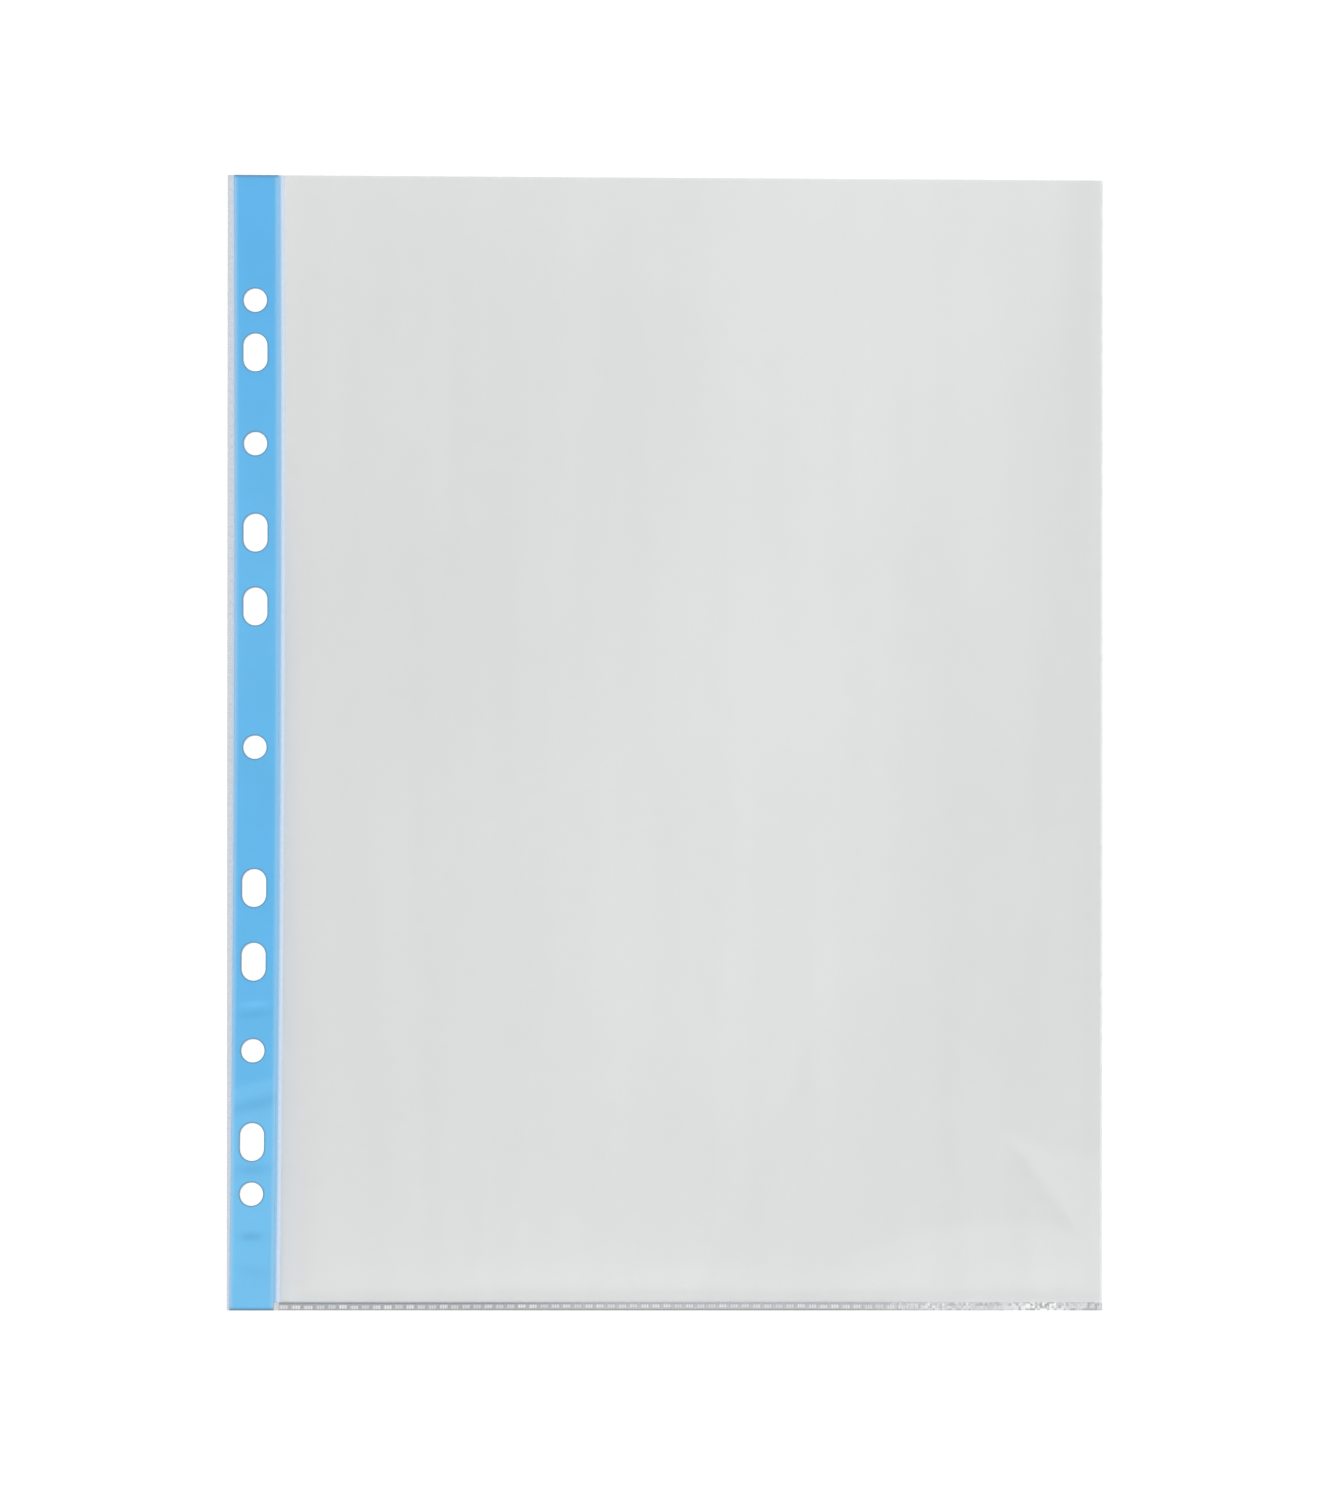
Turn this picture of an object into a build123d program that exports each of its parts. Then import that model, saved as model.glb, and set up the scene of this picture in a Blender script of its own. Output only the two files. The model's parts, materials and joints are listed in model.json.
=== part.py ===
"""A4 sheet protector: an open-topped pocket of clear film beside a coloured, punched binding strip.

Sizes are in millimetres. The sheet lies flat with its front up (+Z), its open mouth towards +Y and its binding
strip along the -X side. The origin is the middle of the footprint, on the surface that the sheet lies on.
"""

import os

from build123d import *

# Outline of the whole sheet
sheet_width = 235.0
sheet_height = 305.0

# Clear film, and the room that it leaves for paper
film_thickness = 0.05
pocket_gap = 0.30

# Coloured ribbon, sealed between the two films along the binding edge
ribbon_width = 11.7
ribbon_thickness = 0.12

# Heat-sealed seams
outer_weld_width = 1.8
inner_weld_width = 1.7
bottom_weld_width = 2.1

# Knurl of the seams: a row of recesses that the sealing jaw presses into the fused film
knurl_pitch = 3.0
recess_length = 1.9
recess_width = 0.9
recess_depth = 0.02
knurl_end_margin = 1.0

# Holes for ring binders, on a line beside the binding edge, punched in pairs above and below a middle hole
hole_edge_distance = 7.3
middle_hole_height = 151.4
round_hole_diameter = 6.3
round_hole_offsets = (81.5, 120.0)
slot_width = 6.5
slot_length = 10.2
slot_offsets = (37.8, 57.6, 106.0)
hole_end_land = 4.0
punch_overrun = 1.0

# Edges of the sheet
left_edge = -sheet_width / 2
right_edge = sheet_width / 2
bottom_edge = -sheet_height / 2
top_edge = sheet_height / 2

# Lines across the sheet, from the binding edge to the fold
strip_left = left_edge + outer_weld_width
ribbon_left = strip_left + film_thickness
ribbon_right = ribbon_left + ribbon_width
strip_right = ribbon_right + film_thickness
pocket_left = strip_right + inner_weld_width
fold_radius = film_thickness + pocket_gap / 2
fold_left = right_edge - fold_radius
pocket_bottom = bottom_edge + bottom_weld_width

# Levels above the surface that the sheet lies on
seam_top = 2 * film_thickness
ribbon_middle = film_thickness + ribbon_thickness / 2
ribbon_top = film_thickness + ribbon_thickness
strip_top = ribbon_top + film_thickness
front_under = film_thickness + pocket_gap
front_top = front_under + film_thickness

# Line of the holes
hole_x = left_edge + hole_edge_distance
middle_hole_y = bottom_edge + middle_hole_height


def panel(x_min, x_max, y_min, y_max, z_min, thickness):
    """A flat sheet, cut to a rectangle and raised to its level."""
    sheet = Rectangle(x_max - x_min, y_max - y_min, align=(Align.MIN, Align.MIN))
    return extrude(Pos(x_min, y_min, z_min) * sheet, thickness, dir=(0, 0, 1))


def run_along_y(profile, y_min, y_max):
    """A profile drawn in X and Z, carried along the sheet's height."""
    return extrude(Pos(0, y_min, 0) * (Plane.XZ * profile), y_max - y_min, dir=(0, 1, 0))


def outline(*points):
    """A closed outline through the given corners."""
    return make_face(Polyline(*points, close=True))


def fits_on_strip(offset, length):
    """True if a hole at this offset from the middle one leaves land at both ends of the strip."""
    half = length / 2 + hole_end_land
    return bottom_edge + half <= middle_hole_y + offset <= top_edge - half


def knurl_places(seam_length):
    """Distances along a seam, from its middle, at which the jaw leaves a recess."""
    room = seam_length - 2 * knurl_end_margin - recess_length
    count = 1 + max(0, int(room / knurl_pitch))
    return [(index - (count - 1) / 2) * knurl_pitch for index in range(count)]


def recesses_along_y(x_middle, y_min, y_max):
    """Recesses of a seam that runs up the sheet."""
    y_middle = (y_min + y_max) / 2
    places = Locations(*[(x_middle, y_middle + place, seam_top) for place in knurl_places(y_max - y_min)])
    return extrude(Sketch() + places * Rectangle(recess_width, recess_length), recess_depth, dir=(0, 0, -1))


def recesses_along_x(x_min, x_max, y_middle):
    """Recesses of a seam that runs across the sheet."""
    x_middle = (x_min + x_max) / 2
    places = Locations(*[(x_middle + place, y_middle, seam_top) for place in knurl_places(x_max - x_min)])
    return extrude(Sketch() + places * Rectangle(recess_length, recess_width), recess_depth, dir=(0, 0, -1))


def ring_punch():
    """All the holes of the strip, as the punch goes through film, ribbon and film."""
    mirrored_rounds = [sign * offset for offset in round_hole_offsets for sign in (-1, 1)]
    mirrored_slots = [sign * offset for offset in slot_offsets for sign in (-1, 1)]
    rounds = [y for y in [0.0] + mirrored_rounds if fits_on_strip(y, round_hole_diameter)]
    slots = [y for y in mirrored_slots if fits_on_strip(y, slot_length)]
    round_places = Locations(*[(hole_x, middle_hole_y + y) for y in rounds])
    slot_places = Locations(*[(hole_x, middle_hole_y + y) for y in slots])
    holes = Sketch() + round_places * Circle(round_hole_diameter / 2)
    holes += slot_places * SlotOverall(slot_length, slot_width, rotation=90)
    return extrude(Pos(0, 0, -punch_overrun) * holes, strip_top + 2 * punch_overrun, dir=(0, 0, 1))


def binding_strip(punch):
    """The coloured ribbon."""
    return panel(ribbon_left, ribbon_right, bottom_edge, top_edge, film_thickness, ribbon_thickness) - punch


def strip_film(face_level, ribbon_level, punch):
    """One film of the strip: flat over the ribbon, and turned round its edges to meet the other film half-way."""
    channel = outline(
        (strip_left, face_level),
        (strip_right, face_level),
        (strip_right, ribbon_middle),
        (ribbon_right, ribbon_middle),
        (ribbon_right, ribbon_level),
        (ribbon_left, ribbon_level),
        (ribbon_left, ribbon_middle),
        (strip_left, ribbon_middle),
    )
    return run_along_y(channel, bottom_edge, top_edge) - punch


def outer_edge_weld():
    """The fused margin along the binding edge."""
    band = panel(left_edge, strip_left, bottom_edge, top_edge, 0, seam_top)
    return band - recesses_along_y((left_edge + strip_left) / 2, bottom_edge, top_edge)


def inner_pocket_weld():
    """The fused line beside the ribbon, with the front film rising from it to the pocket's height."""
    riser_left = pocket_left - film_thickness
    seam = outline(
        (strip_right, 0),
        (pocket_left, 0),
        (pocket_left, front_top),
        (riser_left, front_top),
        (riser_left, seam_top),
        (strip_right, seam_top),
    )
    knurl = recesses_along_y((strip_right + riser_left) / 2, pocket_bottom, top_edge)
    return run_along_y(seam, pocket_bottom, top_edge) - knurl


def bottom_weld():
    """The fused lower edge of the pocket, with the front film rising from it along the pocket's width."""
    riser_bottom = pocket_bottom - film_thickness
    riser_left = pocket_left - film_thickness
    band = panel(strip_right, right_edge, bottom_edge, pocket_bottom, 0, seam_top)
    riser = panel(riser_left, right_edge, riser_bottom, pocket_bottom, seam_top, front_top - seam_top)
    return band + riser - recesses_along_x(strip_right, right_edge, (bottom_edge + riser_bottom) / 2)


def rear_film():
    """The pocket's rear panel."""
    return panel(pocket_left, fold_left, pocket_bottom, top_edge, 0, film_thickness)


def front_film():
    """The pocket's front panel."""
    return panel(pocket_left, fold_left, pocket_bottom, top_edge, front_under, film_thickness)


def side_fold():
    """The half-round fold that joins the front and rear panels along the right-hand edge."""
    ring = Circle(fold_radius) - Circle(pocket_gap / 2)
    right_half = Rectangle(fold_radius, 2 * fold_radius, align=(Align.MIN, Align.CENTER))
    return run_along_y(Pos(fold_left, fold_radius) * (ring & right_half), pocket_bottom, top_edge)


strip_punch = ring_punch()
pieces = {
    "binding_strip": binding_strip(strip_punch),
    "front_strip_film": strip_film(strip_top, ribbon_top, strip_punch),
    "rear_strip_film": strip_film(0, film_thickness, strip_punch),
    "outer_edge_weld": outer_edge_weld(),
    "inner_pocket_weld": inner_pocket_weld(),
    "bottom_weld": bottom_weld(),
    "front_film": front_film(),
    "rear_film": rear_film(),
    "side_fold": side_fold(),
}

os.makedirs("parts", exist_ok=True)
for name, piece in pieces.items():
    export_step(piece, f"parts/{name}.step")
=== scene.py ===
"""Looks of an A4 sheet protector: an empty clear pocket with a blue punched strip, on a white table.

It lies front up (+Z), with its mouth towards +Y and its binding strip along -X. Sizes are in metres.
"""

import json

import bpy
import numpy as np
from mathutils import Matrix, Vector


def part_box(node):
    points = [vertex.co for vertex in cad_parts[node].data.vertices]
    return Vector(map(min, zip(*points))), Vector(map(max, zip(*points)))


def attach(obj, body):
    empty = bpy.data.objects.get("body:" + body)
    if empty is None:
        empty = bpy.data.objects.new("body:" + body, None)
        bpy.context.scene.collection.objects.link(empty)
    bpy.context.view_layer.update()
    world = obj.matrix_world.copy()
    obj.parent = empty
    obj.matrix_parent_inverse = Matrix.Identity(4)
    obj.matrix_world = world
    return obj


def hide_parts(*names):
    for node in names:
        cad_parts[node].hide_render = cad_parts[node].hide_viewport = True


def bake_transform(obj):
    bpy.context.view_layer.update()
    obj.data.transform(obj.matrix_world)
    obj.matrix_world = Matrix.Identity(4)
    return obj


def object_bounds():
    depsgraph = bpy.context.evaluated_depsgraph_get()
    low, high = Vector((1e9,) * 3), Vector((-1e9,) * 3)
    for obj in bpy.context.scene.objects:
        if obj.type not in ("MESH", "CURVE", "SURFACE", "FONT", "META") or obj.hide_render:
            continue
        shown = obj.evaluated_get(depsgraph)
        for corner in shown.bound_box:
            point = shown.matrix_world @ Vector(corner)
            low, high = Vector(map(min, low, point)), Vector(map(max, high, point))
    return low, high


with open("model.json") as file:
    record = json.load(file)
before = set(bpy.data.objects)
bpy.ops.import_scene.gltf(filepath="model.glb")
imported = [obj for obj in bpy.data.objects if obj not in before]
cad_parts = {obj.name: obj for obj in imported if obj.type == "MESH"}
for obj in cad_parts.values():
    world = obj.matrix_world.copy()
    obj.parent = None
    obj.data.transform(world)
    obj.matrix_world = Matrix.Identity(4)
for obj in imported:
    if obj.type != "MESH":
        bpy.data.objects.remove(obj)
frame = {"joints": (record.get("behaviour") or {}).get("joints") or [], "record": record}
cad_low, cad_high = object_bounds()


# Blue ribbon: a tape of pigmented polypropylene that stiffens the binding edge. It is sealed between
# two layers of clear film, and eleven holes for ring binders are punched through all three at once.
mm = 0.001
ribbon_low, ribbon_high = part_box("binding_strip")
over_low, over_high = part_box("front_strip_film")
under_low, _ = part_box("rear_strip_film")
strip_middle = (over_low.x + over_high.x) / 2
hole_line = frame["record"]["mounts"][0]["pos_m"][0]
hole_land = 2.0 * mm
hole_rings = 10
ribbon_step, edge_step = 0.5 * mm, 0.05 * mm
burr_height, burr_reach = 0.015 * mm, 0.3 * mm


def ring_holes(mounts):
    """Middle height, radius and straight half-length of each hole, from the bottom up. The
    record's bore is the lone middle hole, and each of its patterns is a pair, half the
    spacing above and below the pattern's place."""
    holes = []
    for mount in mounts:
        sizes = mount["dims"]
        if mount["kind"] == "bore":
            holes.append((mount["pos_m"][1], sizes["r_mm"] * mm, 0.0))
        elif mount["kind"] == "bolt_pattern":
            diameter = 2 * sizes["hole_r_mm"]
            straight = sizes.get("slot_length_mm", diameter) - diameter
            for side in (-0.5, 0.5):
                height = mount["pos_m"][1] + side * sizes["spacing_y_mm"] * mm
                holes.append((height, diameter / 2 * mm, straight / 2 * mm))
    return sorted(holes)


def grid_faces(rows, columns):
    """Four-cornered faces of a grid whose rows run up and whose columns run to the right."""
    corner = np.arange(rows * columns).reshape(rows, columns)
    corners = [corner[:-1, :-1], corner[:-1, 1:], corner[1:, 1:], corner[1:, :-1]]
    return np.stack(corners, axis=-1).reshape(-1, 4)


def lines(*stops):
    """Grid lines through the given places. Each stop gives a place and the step of the lines
    that lead on from it, which is stretched or shrunk to fit the run."""
    runs = []
    for (start, step), (end, _) in zip(stops[:-1], stops[1:]):
        runs.append(np.linspace(start, end, 1 + max(1, round((end - start) / step)))[:-1])
    return np.concatenate([*runs, [stops[-1][0]]])


def rectangle(across, up):
    """Plan of a plain stretch: a grid of points on the given lines, and its faces."""
    x, y = np.meshgrid(across, up)
    return np.stack([x, y], axis=-1).reshape(-1, 2), grid_faces(len(up), len(across))


def hole_patch(across, up, hole):
    """Plan of the rectangle round one hole. Rays run in from its four sides, each to the
    nearest point of the rim, and the rings along them close up towards the rim as the square
    of the way that is left. The first ring is narrow."""
    height, radius, straight = hole
    edge_share = 0.02
    left, right, low, high = across[0], across[-1], up[0], up[-1]
    across, up = across[:-1], up[:-1]
    side_x = np.concatenate(
        [across, np.full_like(up, right), left + right - across, np.full_like(up, left)])
    side_y = np.concatenate(
        [np.full_like(across, low), up, np.full_like(across, high), low + high - up])
    sides = np.stack([side_x, side_y], axis=-1)
    sides = np.concatenate([sides, sides[:1]])
    foot_y = height + np.clip(sides[:, 1] - height, -straight, straight)
    foot = np.stack([np.full_like(foot_y, hole_line), foot_y], axis=-1)
    rays = sides - foot
    rim = foot + radius * rays / np.linalg.norm(rays, axis=1, keepdims=True)
    share = np.insert(1 - np.linspace(1, 0, hole_rings) ** 2, 1, edge_share)[:, None, None]
    return (sides + share * (rim - sides)).reshape(-1, 2), grid_faces(len(share), len(sides))


def punched_plan(left, right, low, high, holes):
    """Plan of the strip: a patch for each hole and plain stretches between them, with shared
    points where they meet. The columns at its sides are narrow, so that the turn of the
    normals there stays at the very edge."""
    micrometre = 0.001 * mm
    across = lines(
        (left, edge_step), (left + edge_step, ribbon_step),
        (right - edge_step, edge_step), (right, edge_step))
    patches, start = [], low
    for hole in holes:
        reach = hole[1] + hole[2] + hole_land
        below, above = hole[0] - reach, hole[0] + reach
        patches.append(rectangle(across, lines((start, ribbon_step), (below, ribbon_step))))
        patches.append(hole_patch(across, lines((below, ribbon_step), (above, ribbon_step)), hole))
        start = above
    patches.append(rectangle(across, lines((start, ribbon_step), (high, ribbon_step))))
    counts = np.cumsum([0] + [len(points) for points, _ in patches])
    points = np.concatenate([points for points, _ in patches])
    faces = np.concatenate([faces + count for (_, faces), count in zip(patches, counts)])
    rounded = np.round(points / micrometre).astype(int)
    _, first, shared = np.unique(rounded, axis=0, return_index=True, return_inverse=True)
    return points[first], shared.ravel()[faces]


def rim_distance(plan, holes):
    """Distance of each point of the strip from the nearest hole's rim: that from the hole's
    middle line, less the hole's radius."""
    height, radius, straight = np.array(holes).T
    beyond = np.maximum(np.abs(plan[:, 1:] - height) - straight, 0)
    return (np.hypot(plan[:, :1] - hole_line, beyond) - radius).min(axis=1)


def ease(value, start, length):
    """Eases from 0 at the start to 1 a length further on, as a cubic that is level at both
    ends. With a negative length it rises towards smaller values."""
    share = np.clip((value - start) / length, 0, 1)
    return share * share * (3 - 2 * share)


def bell(value, reach):
    """A Gaussian bell: 1 at nought, and 1/e at the reach."""
    return np.exp(-((value / reach) ** 2))


def strip_creases(plan):
    """Height of the creases that handling left in the strip, and their painted shade and highlight,
    a tone below 0 for darker and above it for paler: slanting ridges that fade along their
    length, and an oval dent near the foot."""
    heights = np.array([-70.2, -72.9, -97.0, -114.6, -142.0]) * mm
    lifts = np.array([0.06, -0.03, 0.06, -0.03, 0.04]) * mm
    ridge_shading = np.array([1.1, -0.9, -1.4, -1.3, -0.6])
    widths = np.array([0.9, 0.9, 1.9, 1.5, 1.6]) * mm
    lengths = np.array([4.2, 5.0, 12.0, 4.5, 6.0]) * mm
    slants = np.array([0.06, 0.10, 0.26, 0.04, -0.10])
    dent_place = np.array([-110.1, -132.5]) * mm
    dent_size = np.array([2.9, 1.2]) * mm
    dent_depth, dent_shading = 0.05 * mm, -2.0
    from_middle = plan[:, :1] - strip_middle
    across = plan[:, 1:] - heights - slants * from_middle
    ridge = bell(across, widths) * bell(from_middle, lengths)
    dent = bell(plan - dent_place, dent_size).prod(axis=1)
    lift = (lifts * ridge).sum(axis=1) - dent_depth * dent
    tone = (ridge_shading * ridge).sum(axis=1) + dent_shading * dent
    return lift, tone


def cut_skew(x, y):
    """How far the knife's cuts depart from square: the cut at the mouth falls steadily
    towards the fold and the cut at the foot climbs a little, and the film's last stretch
    before each cut is drawn out or in to meet it."""
    mouth_fall, mouth_level_place = 0.0056, -110 * mm
    foot_climb, foot_level_place = 0.0009, -330 * mm
    stretch = 25 * mm
    mouth = mouth_fall * (mouth_level_place - x) * ease(y, cad_high.y - stretch, stretch)
    foot = foot_climb * (x - foot_level_place) * ease(y, cad_low.y + stretch, -stretch)
    return mouth + foot


def ribbon_bow(x, y):
    """How far the ribbon strays sideways, as it was fed a little askew: a parabola up its
    length, which fades to nothing at the binding edge and in the pocket's film."""
    bow_middle, bow_reach = 60 * mm, 200 * mm
    bow_right, bow_left = 0.25 * mm, 1.15 * mm
    fade_length = 14 * mm
    bow = bow_right - bow_left * ((y - bow_middle) / bow_reach) ** 2
    from_edge = np.clip((x - cad_low.x) / (over_low.x - cad_low.x), 0, 1)
    return bow * from_edge * (1 - ease(x, over_high.x, fade_length))


def slab(name, plan, faces, top, under):
    """A closed sheet: the plan, moved by the ribbon's bow and the skew of the cuts, at its top height and
    at its under height, with walls down the edges that only one face uses. The walls are shaded flat."""
    count = len(plan)
    points = np.empty((2 * count, 3), np.float32)
    points[:, :2] = np.tile(plan, (2, 1))
    points[:, 0] += np.tile(ribbon_bow(*plan.T), 2)
    points[:, 1] += np.tile(cut_skew(*plan.T), 2)
    points[:, 2] = np.concatenate([top, under])
    starts, ends = faces.ravel(), np.roll(faces, -1, axis=1).ravel()
    free = ~np.isin(starts * count + ends, ends * count + starts)
    starts, ends = starts[free], ends[free]
    walls = np.stack([starts, starts + count, ends + count, ends], axis=-1)
    all_faces = np.concatenate([walls, faces, faces[:, ::-1] + count])
    mesh = bpy.data.meshes.new(name)
    mesh.vertices.add(len(points))
    mesh.vertices.foreach_set("co", points.ravel())
    mesh.loops.add(all_faces.size)
    mesh.loops.foreach_set("vertex_index", all_faces.ravel().astype(np.int32))
    mesh.polygons.add(len(all_faces))
    mesh.polygons.foreach_set("loop_start", np.arange(0, all_faces.size, 4, dtype=np.int32))
    mesh.update(calc_edges=True)
    flat = np.zeros(len(all_faces), bool)
    flat[: len(walls)] = True
    mesh.attributes.new("sharp_face", "BOOLEAN", "FACE").data.foreach_set("value", flat)
    piece = bpy.data.objects.new(name, mesh)
    bpy.context.scene.collection.objects.link(piece)
    return piece


def mark(piece, name, values):
    """Gives each point of a slab, top and under alike, a value that its material reads by name."""
    attribute = piece.data.attributes.new(name, "FLOAT", "POINT")
    attribute.data.foreach_set("value", np.tile(values, 2).astype(np.float32))


def linear(code):
    """Linear colour of an sRGB hex code: each channel is raised as the sRGB curve says."""
    channels = np.array([int(code[i : i + 2], 16) for i in (1, 3, 5)]) / 255
    raised = np.where(channels <= 0.04045, channels / 12.92, ((channels + 0.055) / 1.055) ** 2.4)
    return (*raised, 1.0)


def add(material, kind, inputs=(), **settings):
    """Adds a node: settings are its own properties, and each input takes a value or another
    node's output. A Mix node's inputs are 0 for the share, 2 and 3 for two numbers, and 6 and
    7 for two colours; the mixed number is its output 0 and the mixed colour its output 2."""
    tree = material.node_tree
    node = tree.nodes.new(kind)
    for name, value in settings.items():
        setattr(node, name, value)
    for key, value in dict(inputs).items():
        if isinstance(value, bpy.types.NodeSocket):
            tree.links.new(value, node.inputs[key])
        else:
            node.inputs[key].default_value = value
    return node


def new_material(name):
    """A node material with an empty tree."""
    material = bpy.data.materials.new(name)
    material.use_nodes = True
    material.node_tree.nodes.clear()
    return material


def pigmented_tape():
    """Extruded polypropylene tape with a pale blue pigment: a little cloudy, paler in a broad band
    above its middle, greyer along the slit edges and darker where the knife bruised its ends.
    Painted light is laid on it too: a painted highlight that grows towards its foot and below a
    fold mark, painted shade round the rims of the punched holes, and painted shade and
    highlights along its creases and in a dent."""
    deep, pale = linear("#3CAFEB"), linear("#66C2F2")
    # The dark colour is painted shade round the hole rims and the knife's bruise at the cut ends.
    slit, rim_shade_and_bruise_colour = linear("#97CDF0"), linear("#487F9F")
    cloud_width, cloud_depth, crease_shading_depth = 14 * mm, 0.06, 0.06
    material = new_material("pigmented_polypropylene_tape")
    place = add(material, "ShaderNodeTexCoord").outputs["Object"]
    cloud = add(material, "ShaderNodeTexNoise", {"Vector": place, "Scale": 1 / cloud_width, "Detail": 2.0})
    paleness, slit_edge, bruised, crease = (
        add(material, "ShaderNodeAttribute", attribute_name=name).outputs["Fac"]
        for name in ("paleness", "slit_edge", "bruised", "crease"))
    body = add(material, "ShaderNodeMix", {0: paleness, 6: deep, 7: pale}, data_type="RGBA")
    cloud_tone = add(material, "ShaderNodeMapRange", {
        "Value": cloud.outputs["Fac"], "To Min": 1 - cloud_depth, "To Max": 1 + cloud_depth})
    # The crease mark darkens or pales the tape as painted shade and highlight.
    tone = add(material, "ShaderNodeMath", {
        0: crease, 1: crease_shading_depth, 2: cloud_tone.outputs[0]}, operation="MULTIPLY_ADD")
    toned = add(material, "ShaderNodeHueSaturation", {"Value": tone.outputs[0], "Color": body.outputs[2]})
    edged = add(material, "ShaderNodeMix", {0: slit_edge, 6: toned.outputs[0], 7: slit}, data_type="RGBA")
    colour = add(material, "ShaderNodeMix", {0: bruised, 6: edged.outputs[2], 7: rim_shade_and_bruise_colour}, data_type="RGBA")
    tape = add(material, "ShaderNodeBsdfPrincipled", {
        "Base Color": colour.outputs[2], "Roughness": 0.35, "IOR": 1.49})
    add(material, "ShaderNodeOutputMaterial", {0: tape.outputs[0]})
    return material


holes = ring_holes(frame["record"]["mounts"])
strip_plan, strip_faces = punched_plan(over_low.x, over_high.x, over_low.y, over_high.y, holes)
strip_x, strip_y = strip_plan.T
level = np.ones(len(strip_plan))
rim = rim_distance(strip_plan, holes)
strip_lift, crease_shading = strip_creases(strip_plan)
strip_lift += burr_height * bell(rim, burr_reach)
ribbon = slab("blue_ribbon", strip_plan, strip_faces, ribbon_high.z + strip_lift, ribbon_low.z * level)

# Paleness: a painted highlight that grows towards the foot, another below the fold mark, a paler band
# above the middle, and the creases' painted shade and highlights.
foot_light_start, foot_light_length, foot_light_share = 20 * mm, 150 * mm, 0.50
pale_band_middle, pale_band_reach, pale_band_share = 38 * mm, 62 * mm, 0.40
fold_mark_height, fold_mark_slope, fold_mark_width, fold_light_share = -91.2 * mm, 0.28, 1.5 * mm, 0.35
crease_shading_share = 0.22
over_fold_mark = strip_y - fold_mark_height - fold_mark_slope * (strip_x - strip_middle)
paleness = foot_light_share * ease(strip_y, foot_light_start, -foot_light_length)
paleness += pale_band_share * bell(strip_y - pale_band_middle, pale_band_reach)
paleness += fold_light_share * ease(over_fold_mark, fold_mark_width / 2, -fold_mark_width)
paleness += crease_shading_share * crease_shading

slit_width, slit_share = 1.3 * mm, 0.8
# The darkening round the holes' rims is painted shade of the punched edge; the darker ends are the knife's
# bruise.
rim_shade_width, rim_shade_share = 0.55 * mm, 0.95
knife_width, knife_share = 1.0 * mm, 0.9
to_side = np.minimum(strip_x - over_low.x, over_high.x - strip_x)
to_end = np.minimum(strip_y - over_low.y, over_high.y - strip_y)
painted_rim_shade = rim_shade_share * ease(rim, rim_shade_width, -rim_shade_width)
knife_bruise = knife_share * ease(to_end, knife_width, -knife_width)
mark(ribbon, "paleness", paleness)
mark(ribbon, "slit_edge", slit_share * ease(to_side, slit_width, -slit_width))
mark(ribbon, "bruised", np.maximum(painted_rim_shade, knife_bruise))
mark(ribbon, "crease", crease_shading)
ribbon.data.materials.append(pigmented_tape())
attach(ribbon, "binding")
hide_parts("binding_strip")


# Film over and under the ribbon: the same clear film as the pocket, laid flat on both faces
# of the ribbon, sealed on to it and punched with it. It follows the ribbon's creases and
# gives the strip its gloss.
seal_gap = 0.004 * mm


def sealed_film():
    """Cast polypropylene film in close contact with the ribbon: with no air behind it, it
    shows only as a gloss and a slight veil. The alpha thins the gloss too, so the IOR is
    above the polymer's 1.49 to make up for that."""
    grain_width, grain_depth, grain_strength = 0.7 * mm, 0.004 * mm, 0.3
    material = new_material("cast_polypropylene_film_sealed")
    place = add(material, "ShaderNodeTexCoord").outputs["Object"]
    grain = add(material, "ShaderNodeTexNoise", {"Vector": place, "Scale": 1 / grain_width, "Detail": 2.0})
    bump = add(material, "ShaderNodeBump", {
        "Height": grain.outputs["Fac"], "Distance": grain_depth, "Strength": grain_strength})
    film = add(material, "ShaderNodeBsdfPrincipled", {
        "Base Color": linear("#E4EDF5"), "Roughness": 0.16, "IOR": 3.4, "Alpha": 0.03,
        "Normal": bump.outputs[0]})
    add(material, "ShaderNodeOutputMaterial", {0: film.outputs[0]})
    return material


strip_sealed = sealed_film()
strip_films = {
    "front_strip_film": (over_high.z + strip_lift, ribbon_high.z + seal_gap + strip_lift),
    "rear_strip_film": ((ribbon_low.z - seal_gap) * level, under_low.z * level),
}
for name, (top, under) in strip_films.items():
    strip_film = slab(name + "_sealed", strip_plan, strip_faces, top, under)
    strip_film.data.materials.append(strip_sealed)
    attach(strip_film, "binding")
    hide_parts(name)


# Fused seams: the two films are welded under a hot knurled jaw along the binding edge, beside the ribbon
# and along the foot of the pocket. The jaw leaves a row of dashes, each a few small lumps, 3 mm apart.
seam_top, seam_step = 0.1 * mm, 0.16 * mm
knurl_pitch, lump_pitch = 3.0 * mm, 0.64 * mm
dash_length, dash_width, dash_depth = 2.3 * mm, 1.1 * mm, 0.02 * mm
dash_end_margin = 1.0 * mm
# Most of a noise pattern's values lie in this span.
noise_span = {"From Min": 0.3, "From Max": 0.7}


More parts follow.
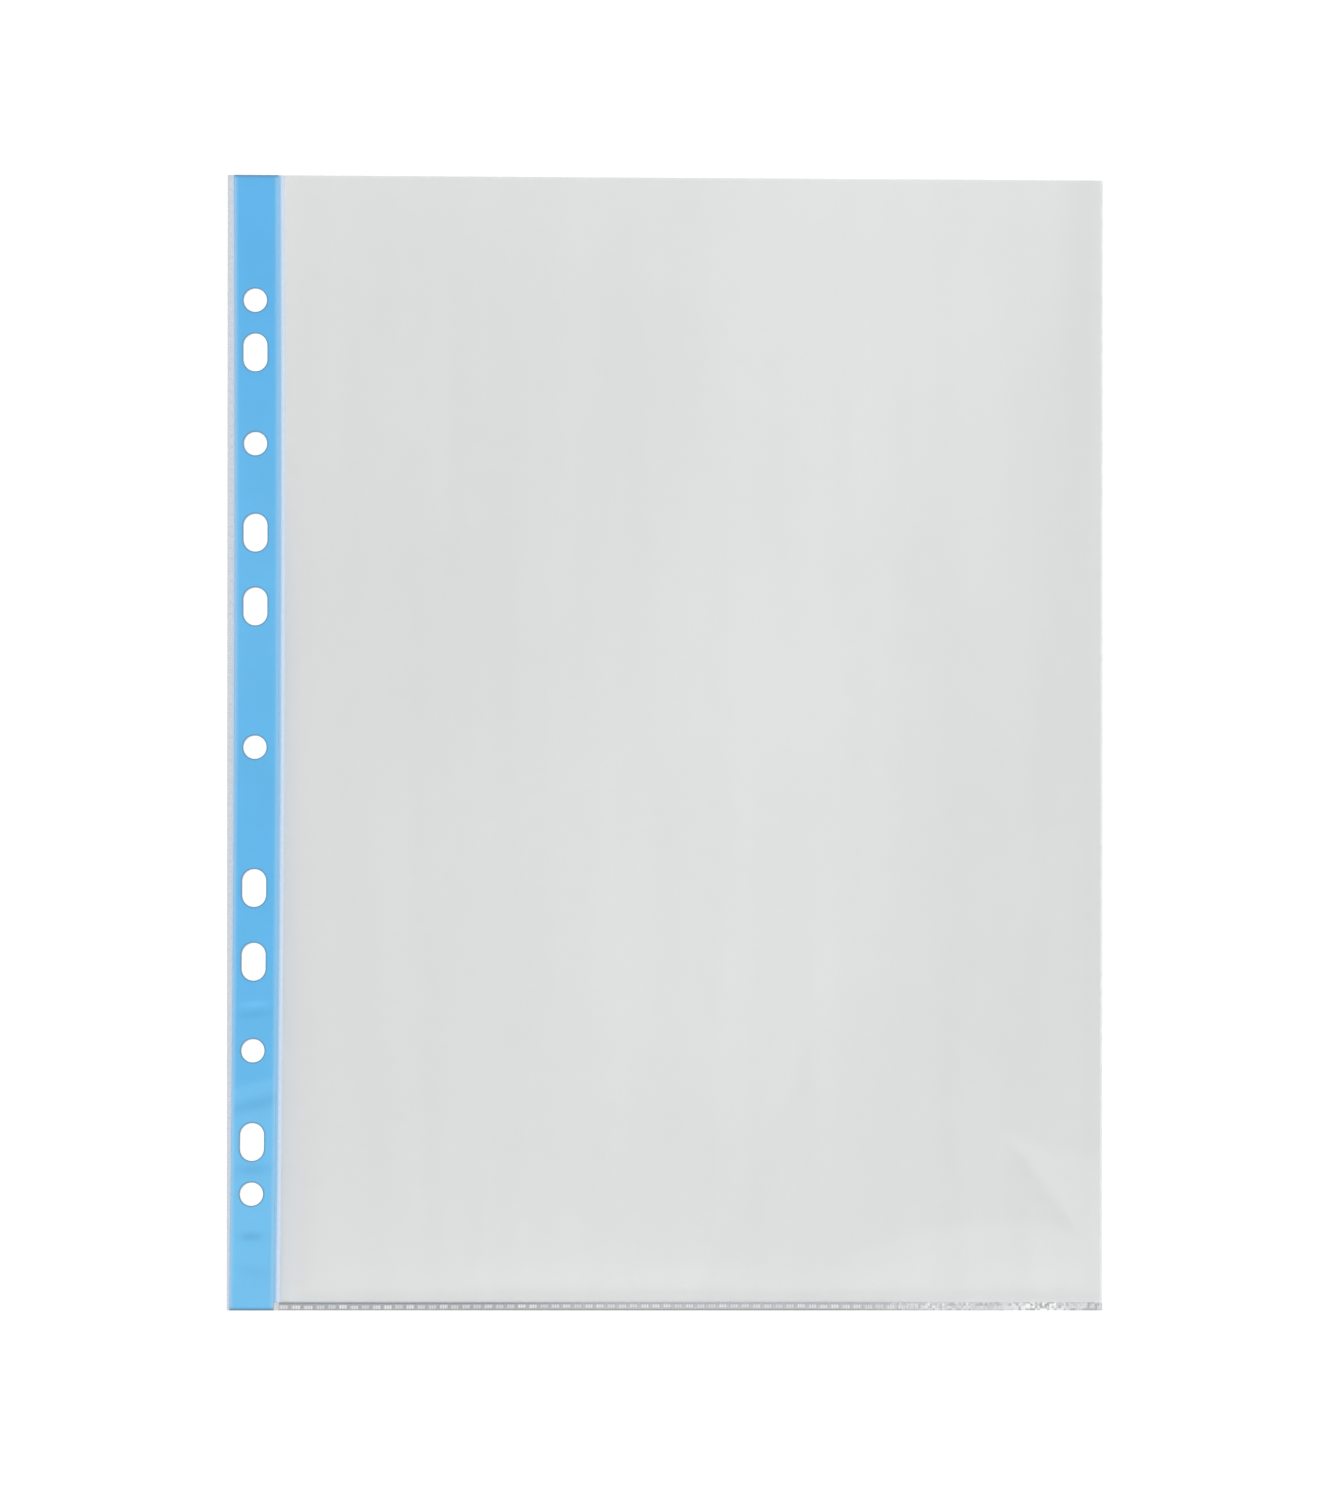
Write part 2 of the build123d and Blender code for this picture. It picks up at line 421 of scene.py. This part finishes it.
def knurl(along, across, length, seed):
    """How deep the jaw pressed, from 0 to 1: a rounded box for each dash, one pitch apart and
    centred on the seam, filled with lumps along a cosine. Each dash is pressed a little more
    or less than the next, and shifted."""
    weakest, most_shift, soft, lump_share = 0.8, 0.12 * mm, 0.25 * mm, 0.18
    count = 1 + int((length - 2 * dash_end_margin - dash_length) / knurl_pitch)
    place = along / knurl_pitch + (count - 1) / 2
    nearest = np.clip(np.round(place), 0, count - 1)
    off = (place - nearest) * knurl_pitch
    random = np.random.default_rng(seed)
    force = random.uniform(weakest, 1.0, count)[nearest.astype(int)]
    shift = random.uniform(-most_shift, most_shift, count)[nearest.astype(int)]
    box = ease(np.abs(off), (dash_length + soft) / 2, -soft)
    box = box * ease(np.abs(across - shift), (dash_width + soft) / 2, -soft)
    lumps = 1 - lump_share + lump_share * np.cos(2 * np.pi * (off + shift) / lump_pitch)
    return force * box * lumps


def fused_film(name, land, dash, tent):
    """Polypropylene film melted together: cloudier on the dashes that the jaw's teeth pressed, whose paler
    colour is a painted highlight of the knurl, clearer on the land between the dashes, pale or dark along
    the tent where the two films part again, and nearly clear where it melted right through. Land, dash
    and tent are each a colour and an alpha."""
    haze_width, least_haze, most_haze = 5 * mm, 0.8, 1.1
    melted_alpha = 0.05
    material = new_material(name)
    place = add(material, "ShaderNodeTexCoord").outputs["Object"]
    haze = add(material, "ShaderNodeTexNoise", {"Vector": place, "Scale": 1 / haze_width, "Detail": 3.0})
    haze_share = add(material, "ShaderNodeMapRange", {
        "Value": haze.outputs["Fac"], **noise_span, "To Min": least_haze, "To Max": most_haze})
    pressed, parting, melted = (
        add(material, "ShaderNodeAttribute", attribute_name=value).outputs["Fac"]
        for value in ("pressed", "parting", "melted"))
    press_highlight = add(material, "ShaderNodeMath", {
        0: pressed, 1: haze_share.outputs[0]}, operation="MULTIPLY", use_clamp=True)
    # The dash colour is a painted highlight of the knurl's facets.
    seam_colour = add(material, "ShaderNodeMix", {
        0: press_highlight.outputs[0], 6: linear(land[0]), 7: linear(dash[0])}, data_type="RGBA")
    colour = add(material, "ShaderNodeMix", {
        0: parting, 6: seam_colour.outputs[2], 7: linear(tent[0])}, data_type="RGBA")
    seam_alpha = add(material, "ShaderNodeMix", {0: press_highlight.outputs[0], 2: land[1], 3: dash[1]})
    cloudy = add(material, "ShaderNodeMix", {0: parting, 2: seam_alpha.outputs[0], 3: tent[1]})
    alpha = add(material, "ShaderNodeMix", {0: melted, 2: cloudy.outputs[0], 3: melted_alpha})
    fused = add(material, "ShaderNodeBsdfPrincipled", {
        "Base Color": colour.outputs[2], "Roughness": 0.25, "IOR": 1.6, "Alpha": alpha.outputs[0]})
    add(material, "ShaderNodeOutputMaterial", {0: fused.outputs[0]})
    return material


def seam_lines(low, high):
    """Grid lines across and up a seam that fills the given box."""
    return lines((low.x, seam_step), (high.x, seam_step)), lines((low.y, seam_step), (high.y, seam_step))


def seam_piece(name, plan, faces, dashes, parting, peak, smear=0.0, shade=0.0, melted=0.0):
    """A seam as a closed band: flat below, knurled above, and rising to the peak where the
    films part. Smear is how far the film between the dashes was pressed too, shade how far it
    looks like the parting line, and melted how far it lost its cloudiness."""
    pressed = np.maximum(dashes, smear) * (1 - parting)
    parting = np.maximum(parting, shade * (1 - pressed))
    top = seam_top - dash_depth * pressed + (peak - seam_top) * parting
    piece = slab(name, plan, faces, top, np.zeros(len(plan)))
    mark(piece, "pressed", pressed)
    mark(piece, "parting", parting)
    mark(piece, "melted", melted * np.ones(len(plan)))
    return piece


edge_low, edge_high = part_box("outer_edge_weld")
edge_plan, edge_faces = rectangle(*seam_lines(edge_low, edge_high))
edge_x, edge_y = edge_plan.T
edge_tent_width, edge_row_share, edge_seed = 1.0 * mm, 0.45, 11
edge_row = edge_low.x + edge_row_share * (edge_high.x - edge_low.x)
edge_dashes = knurl(edge_y, edge_x - edge_row, edge_high.y - edge_low.y, edge_seed)
edge_parting = ease(edge_x, edge_high.x - edge_tent_width, edge_tent_width)
edge_seam = seam_piece("outer_edge_seam", edge_plan, edge_faces, edge_dashes, edge_parting, over_high.z)
edge_seam.data.materials.append(fused_film(
    "fused_film_outer_edge", land=("#B4C2CE", 0.30), dash=("#D8DFE9", 0.42), tent=("#C0D8F2", 0.50)))
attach(edge_seam, "binding")
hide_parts("outer_edge_weld")

hinge_x = frame["joints"][0]["pos_m"][0]
bend_length = 8 * mm
bend_end = (hinge_x + bend_length, 0.0, 0.0)

inner_low, inner_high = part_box("inner_pocket_weld")
inner_plan, inner_faces = rectangle(*seam_lines(inner_low, inner_high))
inner_x, inner_y = inner_plan.T
inner_row_share, inner_seed, inner_peak = 0.62, 12, 0.14 * mm
inner_tent_width, crest_end, crest_fade = 1.1 * mm, 0.42 * mm, 0.3 * mm
inner_row = inner_low.x + inner_row_share * (inner_high.x - inner_low.x)
inner_along = inner_y - (inner_low.y + inner_high.y) / 2
inner_dashes = knurl(inner_along, inner_x - inner_row, inner_high.y - inner_low.y, inner_seed)
# Next to the ribbon the seam is painted light: its pale blue tent is a painted glow of the ribbon's
# colour, and the bright, nearly opaque crest is painted over the ribbon's contact shadow.
from_ribbon = inner_x - inner_low.x
inner_tent = ease(from_ribbon, inner_tent_width, -inner_tent_width)
lit_crest = ease(from_ribbon, crest_end, -crest_fade)
inner_parting = (inner_tent + lit_crest) / 2
inner_seam = seam_piece(
    "inner_pocket_seam", inner_plan, inner_faces, inner_dashes, inner_parting, inner_peak)
inner_seam.data.materials.append(fused_film(
    "fused_film_inner_seam", land=("#9CCBF5", 0.24), dash=("#BADAF6", 0.28), tent=("#90D6FF", 0.88)))
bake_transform(inner_seam)
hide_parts("inner_pocket_weld")

# The bottom seam was pressed unevenly: its left third shows a dark parting line, which is painted shade
# where the films part, its middle a dark cut edge, and its right third is scuffed all over, with spots
# that melted through and spots that tore. Its white dashes are painted highlights of the knurl.
foot_low, foot_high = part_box("bottom_weld")
foot_across, foot_up = seam_lines(foot_low, foot_high)
foot_plan, foot_faces = rectangle(foot_across, foot_up)
foot_x, foot_y = foot_plan.T
left_share = ease(foot_x, start=-5 * mm, length=-50 * mm)
middle_share = ease(foot_x, start=-70 * mm, length=50 * mm) * ease(foot_x, start=80 * mm, length=-55 * mm)
right_share = ease(foot_x, start=42 * mm, length=30 * mm)

foot_seed = 13
foot_row_share = 0.40 + 0.17 * middle_share
foot_row = foot_low.y + foot_row_share * (foot_high.y - foot_low.y)
foot_along = foot_x - (foot_low.x + foot_high.x) / 2
foot_dashes = knurl(foot_along, foot_y - foot_row, foot_high.x - foot_low.x, foot_seed)

parting_end, parting_fade, cut_edge_width = 0.77 * mm, 0.55 * mm, 0.5 * mm
parting_share = 0.20 + 0.46 * left_share - 0.20 * right_share
cut_share = 0.50 + 0.30 * middle_share - 0.45 * right_share
# The parting line is painted shade where the films part from the seam.
parting_line = parting_share * ease(foot_high.y - foot_y, parting_end, -parting_fade)
cut_line = cut_share * ease(foot_y - foot_low.y, cut_edge_width, -cut_edge_width)

inner_seam_overlap, end_length, end_fade, end_smear = 0.9 * mm, 0.9 * mm, 0.6 * mm, 0.75
to_foot_end = np.minimum(foot_x - foot_low.x - inner_seam_overlap, foot_high.x - foot_x)
end_share = ease(to_foot_end, end_length, -end_fade)

scuff_seed, scuff_cells, least_scuff = 14, 4, 0.35
scuff_shape = (1 + len(foot_up) // scuff_cells, 1 + len(foot_across) // scuff_cells)
scuff = np.random.default_rng(scuff_seed).uniform(least_scuff, 1.0, scuff_shape)
scuff = np.repeat(np.repeat(scuff, scuff_cells, axis=0), scuff_cells, axis=1)
scuff = scuff[: len(foot_up), : len(foot_across)].ravel()
melted_middle, melted_reach, melted_share = 101 * mm, 11 * mm, 0.9
torn_start, torn_length, torn_share = 70 * mm, 30 * mm, 0.22
hard_scuff, hard_fade = 0.58, 0.15
light_scuff, light_fade = 0.55, 0.1
melted = melted_share * bell(foot_x - melted_middle, melted_reach) * ease(scuff, hard_scuff, hard_fade)
torn = torn_share * ease(foot_x, torn_start, torn_length) * ease(scuff, light_scuff, -light_fade)
foot_parting = np.maximum(np.maximum(parting_line, cut_line), torn) * (1 - end_share)

land_shade = 0.30
foot_smear = np.maximum(right_share * scuff, end_smear * end_share)
foot_seam = seam_piece(
    "bottom_seam", foot_plan, foot_faces, foot_dashes, foot_parting, seam_top,
    smear=foot_smear, shade=land_shade * left_share, melted=melted)
# Its white dash colour is a painted highlight, and its dark tent colour painted shade.
foot_seam.data.materials.append(fused_film(
    "fused_film_bottom_seam", land=("#AEB2B5", 0.34), dash=("#F4F5F6", 0.95), tent=("#666971", 0.62)))
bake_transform(foot_seam)
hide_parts("bottom_weld")


# Pocket: one web of clear film, folded along the right-hand edge into a front and a rear
# panel. The panels are loose between the seams, so they billow a little, and a few soft
# wrinkles are left near the lower right corner.
film_thickness = 0.05 * mm
front_low, front_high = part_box("front_film")
_, fold_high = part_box("side_fold")
fold_width = 0.55 * mm
panel_right = fold_high.x - fold_width


def turned(x, y, middle, turn):
    """Distances from a middle, along a direction that is turned from +X and square to it."""
    along = (x - middle[0]) * np.cos(turn) + (y - middle[1]) * np.sin(turn)
    beside = (y - middle[1]) * np.cos(turn) - (x - middle[0]) * np.sin(turn)
    return along, beside


def swell(x, y, middle, size, turn):
    """A Gaussian swelling about its middle, drawn out to a length and a width, with its
    length turned from +X."""
    along, beside = turned(x, y, middle, turn)
    return bell(along, size[0]) * bell(beside, size[1])


def sharp_fold(x, y, middle, size, turn):
    """A fold: like a swelling along its length, but a cusp across it that fades as an exponential."""
    along, beside = turned(x, y, middle, turn)
    return bell(along, size[0]) * np.exp(-np.abs(beside) / size[1])


def arched_ridge(x):
    """Line of the arched ridge near the foot of the pocket: a parabola in plan, which has
    fallen by a millimetre at the arch's reach."""
    ridge_middle, ridge_height, arch_reach = 90 * mm, -128.3 * mm, 13 * mm
    return ridge_height - ((x - ridge_middle) / arch_reach) ** 2 * mm


def arched_ramp(x, y):
    """A facet of film that climbs steadily from the foot of the pocket to the arched ridge
    and falls away as an exponential beyond it. It fades out to the left."""
    ramp_left, ramp_fade, fall_length = 45 * mm, 25 * mm, 9 * mm
    ridge = arched_ridge(x)
    climb = np.clip((y - front_low.y) / np.maximum(ridge - front_low.y, fall_length), 0, 1)
    return climb * np.exp(-np.maximum(y - ridge, 0) / fall_length) * ease(x, ramp_left, ramp_fade)


def film_painted_highlights(x, y):
    """Painted highlights where the pocket's wrinkles catch the light, shown as clearer film: in a wedge
    between a nearly level line and a steep fold, in the facet under the arched ridge, at a spot on the
    wedge's tip, and in a broad band that ends at a slanting line and fades to its left. Along the fold
    it is painted shade, as less clear film."""
    tip_x, tip_y, level_slope, fold_slope = 92 * mm, -104.5 * mm, -0.17, -1.38
    level_fade, fold_fade, tip_fade = 5 * mm, 3 * mm, 3 * mm
    under_level = tip_y + level_slope * (x - tip_x) - y
    over_fold = y - tip_y - fold_slope * (x - tip_x)
    wedge = ease(under_level, 0, level_fade) * ease(over_fold, -fold_fade / 2, fold_fade)
    wedge = wedge * ease(x, tip_x - tip_fade / 2, tip_fade)
    facet_left, facet_fade, ridge_fade, facet_share = 40 * mm, 16 * mm, 4 * mm, 0.6
    facet = ease(arched_ridge(x) - y, -ridge_fade / 2, ridge_fade) * ease(x, facet_left, facet_fade)
    fold_shade_middle, fold_shade_reach, fold_shade_fade, fold_shade_share = -4 * mm, 5 * mm, 8 * mm, 0.7
    apart = bell(over_fold - fold_shade_middle, fold_shade_reach) * ease(x, tip_x, fold_shade_fade)
    spot_share, spot_middle, spot_size, spot_turn = 0.8, (95.5 * mm, -106 * mm), (4.5 * mm, 1.4 * mm), -0.1
    spot = swell(x, y, spot_middle, spot_size, spot_turn)
    band_x, band_y, band_slope, band_share = 46 * mm, -63 * mm, 0.442, 0.6
    band_edge, band_reach, band_top, band_fade = 5 * mm, 24 * mm, -45 * mm, 40 * mm
    into_band = band_x + band_slope * (y - band_y) - x
    band = ease(into_band, -band_edge / 2, band_edge) * np.exp(-np.maximum(into_band, 0) / band_reach)
    band = band * ease(y, band_top, -band_fade)
    # The apart term is painted shade along the fold.
    cling = np.maximum(wedge, facet_share * facet) - fold_shade_share * apart * (1 - facet)
    return cling + spot_share * spot + band_share * band


def clear_of_edges(x, y, left, foot, right):
    """How free the film is to lift: it eases from 0 at the left seam, the bottom seam and the
    fold to 1 at the given distances from them."""
    return ease(x, front_low.x, left) * ease(y, front_low.y, foot) * ease(x, panel_right, -right)


def panel_lift(x, y):
    """Height of the front panel's under face: it rises from the seams to the pocket's height,
    and broad swellings, slow waves and the wrinkles of the lower right corner add to that
    away from the seams and the fold."""
    seam_height, pocket_rise, rise_width, rise_length = 0.05 * mm, 0.30 * mm, 9 * mm, 4 * mm
    rise = ease(x, front_low.x, rise_width) * ease(y, front_low.y, rise_length)
    room = clear_of_edges(x, y, left=30 * mm, foot=12 * mm, right=8 * mm)
    lift = 0.30 * mm * swell(x, y, middle=(45 * mm, 60 * mm), size=(70 * mm, 42 * mm), turn=1.5)
    lift += 0.22 * mm * swell(x, y, middle=(-40 * mm, 20 * mm), size=(90 * mm, 30 * mm), turn=1.45)
    lift += 0.25 * mm * swell(x, y, middle=(20 * mm, -95 * mm), size=(60 * mm, 30 * mm), turn=0.5)
    wave_height, wave_length, wave_sway, sway_length = 0.05 * mm, 47 * mm, 0.15, 40 * mm
    lift += wave_height * (1 + np.sin(2 * np.pi * (x / wave_length + wave_sway * np.sin(y / sway_length))))
    swell_height, swell_length, swell_drift = 0.04 * mm, 83 * mm, 150 * mm
    lift += swell_height * (1 + np.sin(2 * np.pi * (y / swell_length + x / swell_drift)))
    lift += 0.10 * mm * swell(x, y, middle=(96 * mm, -106.5 * mm), size=(6 * mm, 1.8 * mm), turn=-0.1)
    lift -= 0.12 * mm * sharp_fold(
        x, y, middle=(103 * mm, -121.5 * mm), size=(15 * mm, 3.5 * mm), turn=-0.94)
    lift += 0.14 * mm * arched_ramp(x, y)
    return seam_height + pocket_rise * rise + room * lift


def rear_lift(x, y):
    """Height of the rear panel's under face, which lies on the table and lifts off it in slow
    waves that stay under the front panel."""
    room = clear_of_edges(x, y, left=30 * mm, foot=20 * mm, right=12 * mm)
    wave_height, wave_length, wave_start, wave_sway, sway_length = 0.04 * mm, 90 * mm, 0.8, 0.2, 60 * mm
    wave = np.sin(2 * np.pi * (x / wave_length + wave_sway * np.sin(y / sway_length)) + wave_start)
    return wave_height * room * (1 + wave)


def pocket_film():
    """Cast polypropylene film, clear and glossy, with a faint grey haze. Painted light is laid on it: a
    darker, bluer haze beside the strip's seam, which is painted shade of the film's rise from it; a line
    along the foot that is painted shade at the left and in the middle and a painted highlight at the
    right; and clearer patches that are painted highlights of its wrinkles. The alpha thins the gloss too,
    so the IOR is above the polymer's 1.49 to make up for that."""
    haze_width, streak_width, streak_stretch = 60 * mm, 9 * mm, 0.06
    least_cloud, most_cloud, clearest, haziest = 0.7, 1.3, 0.1235, 0.1325
    seam_shade_haze, highlight_haze = 0.018, -0.0085
    material = new_material("cast_polypropylene_film")
    place = add(material, "ShaderNodeTexCoord").outputs["Object"]
    haze = add(material, "ShaderNodeTexNoise", {"Vector": place, "Scale": 1 / haze_width, "Detail": 3.0})
    stretched = add(material, "ShaderNodeMapping", {"Vector": place, "Scale": (1.0, streak_stretch, 1.0)})
    streak = add(material, "ShaderNodeTexNoise", {
        "Vector": stretched.outputs[0], "Scale": 1 / streak_width, "Detail": 2.0})
    cloud = add(material, "ShaderNodeMath", {
        0: haze.outputs["Fac"], 1: streak.outputs["Fac"]}, operation="ADD")
    clear = add(material, "ShaderNodeMapRange", {
        "Value": cloud.outputs[0], "From Min": least_cloud, "From Max": most_cloud,
        "To Min": clearest, "To Max": haziest})
    heated, cling = (
        add(material, "ShaderNodeAttribute", attribute_name=name).outputs["Fac"]
        for name in ("heated", "cling"))
    hazed = add(material, "ShaderNodeMath", {
        0: heated, 1: seam_shade_haze, 2: clear.outputs[0]}, operation="MULTIPLY_ADD")
    alpha = add(material, "ShaderNodeMath", {
        0: cling, 1: highlight_haze, 2: hazed.outputs[0]}, operation="MULTIPLY_ADD")
    # The bluer colour goes with the painted seam shading.
    colour = add(material, "ShaderNodeMix", {
        0: heated, 6: linear("#B0B3B3"), 7: linear("#9DB0BE")}, data_type="RGBA")
    film = add(material, "ShaderNodeBsdfPrincipled", {
        "Base Color": colour.outputs[2], "Roughness": 0.17, "IOR": 3.0, "Alpha": alpha.outputs[0]})
    add(material, "ShaderNodeOutputMaterial", {0: film.outputs[0]})
    return material


fine_step, middle_step, broad_step = 0.4 * mm, 0.9 * mm, 2.2 * mm
wrinkles_left, wrinkles_top, foot_band = 55 * mm, -92 * mm, 2 * mm
panel_across = lines(
    (front_low.x, fine_step), (bend_end[0], broad_step), (wrinkles_left, middle_step),
    (panel_right - edge_step, edge_step), (panel_right, edge_step))
panel_up = lines(
    (front_low.y, fine_step), (front_low.y + foot_band, middle_step), (wrinkles_top, broad_step),
    (front_high.y - edge_step, edge_step), (front_high.y, edge_step))
panel_plan, panel_faces = rectangle(panel_across, panel_up)
panel_x, panel_y = panel_plan.T
front_under, rear_under = panel_lift(panel_x, panel_y), rear_lift(panel_x, panel_y)
front_panel = slab("front_panel", panel_plan, panel_faces, front_under + film_thickness, front_under)
rear_panel = slab("rear_panel", panel_plan, panel_faces, rear_under + film_thickness, rear_under)

# Painted seam shading: a darker, bluer haze beside the strip's seam as painted shade, and a band along the
# foot that is painted shade at the left and in the middle and a painted highlight at the right.
seam_shade_reach, seam_shade_top, seam_shade_fade = 3 * mm, 90 * mm, 60 * mm
foot_reach, left_shade, shade_drop = 0.45 * mm, 2.4, 3.0
foot_shade = left_shade - shade_drop * ease(panel_x, start=50 * mm, length=30 * mm)
heated = np.exp(-(panel_x - front_low.x) / seam_shade_reach) * ease(panel_y, seam_shade_top, -seam_shade_fade)
heated += foot_shade * bell(panel_y - front_low.y, foot_reach)
clear_film = pocket_film()
for panel, node in ((front_panel, "front_film"), (rear_panel, "rear_film")):
    mark(panel, "heated", heated)
    mark(panel, "cling", film_painted_highlights(panel_x, panel_y))
    panel.data.materials.append(clear_film)
    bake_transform(panel)
    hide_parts(node)


# Side fold: the film turns back on itself along the right-hand edge. The crease springs open
# into a narrow bead, which catches the light, and its film is painted paler as a painted highlight, so it
# shows a thin pale line down the whole edge.
def fold_bead():
    """Grid of the bead: half an ellipse from the front panel's edge round to the rear panel's,
    carried up the edge, first along its outer face and then back along its inner face."""
    steps = 12
    turn = np.linspace(np.pi / 2, -np.pi / 2, steps)
    half = (panel_lift(np.full_like(panel_up, panel_right), panel_up) + film_thickness)[:, None] / 2
    outer_x = panel_right + fold_width * np.cos(turn)
    outer_z = half + half * np.sin(turn)
    inner_x = panel_right + (fold_width - film_thickness) * np.cos(turn[::-1])
    inner_z = half + (half - film_thickness) * np.sin(turn[::-1])
    x = np.tile(np.concatenate([outer_x, inner_x, outer_x[:1]]), (len(panel_up), 1))
    y = np.broadcast_to(panel_up[:, None], x.shape)
    z = np.concatenate([outer_z, inner_z, outer_z[:, :1]], axis=1)
    return np.stack([x, y + cut_skew(x, y), z], axis=-1)


def fold_highlight_film():
    """The pocket's film along the fold, painted paler than the panels as a painted highlight."""
    fold_noise_width, clearest, whitest = 3 * mm, 0.09, 0.13
    material = new_material("cast_polypropylene_film_creased")
    place = add(material, "ShaderNodeTexCoord").outputs["Object"]
    fold_noise = add(material, "ShaderNodeTexNoise", {
        "Vector": place, "Scale": 1 / fold_noise_width, "Detail": 2.0})
    alpha = add(material, "ShaderNodeMapRange", {
        "Value": fold_noise.outputs["Fac"], **noise_span, "To Min": clearest, "To Max": whitest})
    film = add(material, "ShaderNodeBsdfPrincipled", {
        "Base Color": linear("#DDE0E0"), "Roughness": 0.2, "IOR": 2.0, "Alpha": alpha.outputs[0]})
    add(material, "ShaderNodeOutputMaterial", {0: film.outputs[0]})
    return material


bead = fold_bead()
bead_mesh = bpy.data.meshes.new("side_fold_bead")
bead_mesh.from_pydata(bead.reshape(-1, 3).tolist(), [], grid_faces(*bead.shape[:2]).tolist())
bead_mesh.shade_smooth()
side_fold = bpy.data.objects.new("side_fold_bead", bead_mesh)
bpy.context.scene.collection.objects.link(side_fold)
side_fold.data.materials.append(fold_highlight_film())
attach(side_fold, "pocket")
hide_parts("side_fold")


# Stage: a matt white table under a broad sun and three soft boxes, seen from straight above
# as in the photograph. The table and the sky look white to the camera and in reflections, and
# light the object no more for it.
table_drop, table_half = 0.05 * mm, 4.0
table_sides = np.array([-table_half, table_half])
table_points, table_faces = rectangle(table_sides, table_sides)
table_mesh = bpy.data.meshes.new("table")
table_mesh.from_pydata([(x, y, -table_drop) for x, y in table_points], [], table_faces.tolist())
table = bpy.data.objects.new("table", table_mesh)
bpy.context.scene.collection.objects.link(table)

board_glow = 0.29
white_board = new_material("matt_white_board")
board = add(white_board, "ShaderNodeBsdfDiffuse", {"Color": linear("#EDEDED")})
path = add(white_board, "ShaderNodeLightPath")
mirrored = add(white_board, "ShaderNodeMath", {
    0: path.outputs["Is Glossy Ray"], 1: path.outputs["Is Transmission Ray"]}, operation="MAXIMUM")
seen = add(white_board, "ShaderNodeMath", {
    0: path.outputs["Is Camera Ray"], 1: mirrored.outputs[0]}, operation="MAXIMUM")
glow_share = add(white_board, "ShaderNodeMath", {0: seen.outputs[0], 1: board_glow}, operation="MULTIPLY")
glow = add(white_board, "ShaderNodeEmission", {"Strength": glow_share.outputs[0]})
lit = add(white_board, "ShaderNodeAddShader", {0: board.outputs[0], 1: glow.outputs[0]})
add(white_board, "ShaderNodeOutputMaterial", {0: lit.outputs[0]})
table.data.materials.append(white_board)

fill_level, mirrored_level = 0.48, 0.8
world = bpy.data.worlds.new("white_studio")
bpy.context.scene.world = world
world.use_nodes = True
world.node_tree.nodes.clear()
sky_path = add(world, "ShaderNodeLightPath")
sky_mirrored = add(world, "ShaderNodeMath", {
    0: sky_path.outputs["Is Glossy Ray"], 1: sky_path.outputs["Is Transmission Ray"]}, operation="MAXIMUM")
light_level = add(world, "ShaderNodeMapRange", {
    "Value": sky_mirrored.outputs[0], "To Min": fill_level, "To Max": mirrored_level})
sky_level = add(world, "ShaderNodeMath", {
    0: light_level.outputs[0], 1: sky_path.outputs["Is Camera Ray"]}, operation="MAXIMUM")
sky = add(world, "ShaderNodeBackground", {"Color": linear("#FFFFFF"), "Strength": sky_level.outputs[0]})
add(world, "ShaderNodeOutputWorld", {0: sky.outputs[0]})


def add_lamp(name, kind, place, power):
    """A lamp of the given kind and power, which faces straight down."""
    lamp = bpy.data.lights.new(name, kind)
    lamp.energy = power
    holder = bpy.data.objects.new(name, lamp)
    holder.location = place
    bpy.context.scene.collection.objects.link(holder)
    return holder


def soft_box(name, place, size, power, turn=0.0):
    """A rectangular lamp that hangs level, turned in its own plane, and faces straight down."""
    holder = add_lamp(name, "AREA", place, power)
    holder.rotation_euler = (0.0, 0.0, turn)
    holder.data.shape = "RECTANGLE"
    holder.data.size, holder.data.size_y = size


key = add_lamp("key", "SUN", place=(-1.3, 0.9, 1.8), power=1.9)
key.rotation_euler = key.location.to_track_quat("Z", "Y").to_euler()
key.data.angle = np.radians(40)
soft_box("overhead", place=(0.083, 0.10, 1.6), size=(0.17, 0.60), power=0.27, turn=np.radians(-13))
soft_box("head", place=(-0.15, 0.40, 1.6), size=(0.85, 0.13), power=0.36)
soft_box("foot", place=(0.05, -0.39, 1.6), size=(0.85, 0.13), power=0.42)

camera_distance, camera_roll = 1.5, np.radians(0.05)
frame_width, frame_middle = 357.35 * mm, (0.2 * mm, 0.1 * mm)
camera_data = bpy.data.cameras.new("camera")
camera_data.sensor_fit = "HORIZONTAL"
camera_data.sensor_width = 36.0
camera_data.lens = camera_data.sensor_width * camera_distance / frame_width
camera = bpy.data.objects.new("camera", camera_data)
camera.location = (*frame_middle, camera_distance)
camera.rotation_euler = (0.0, 0.0, camera_roll)
bpy.context.scene.collection.objects.link(camera)
bpy.context.scene.camera = camera
bpy.context.scene.view_settings.view_transform = "Standard"
bpy.context.scene.cycles.transparent_max_bounces = 24
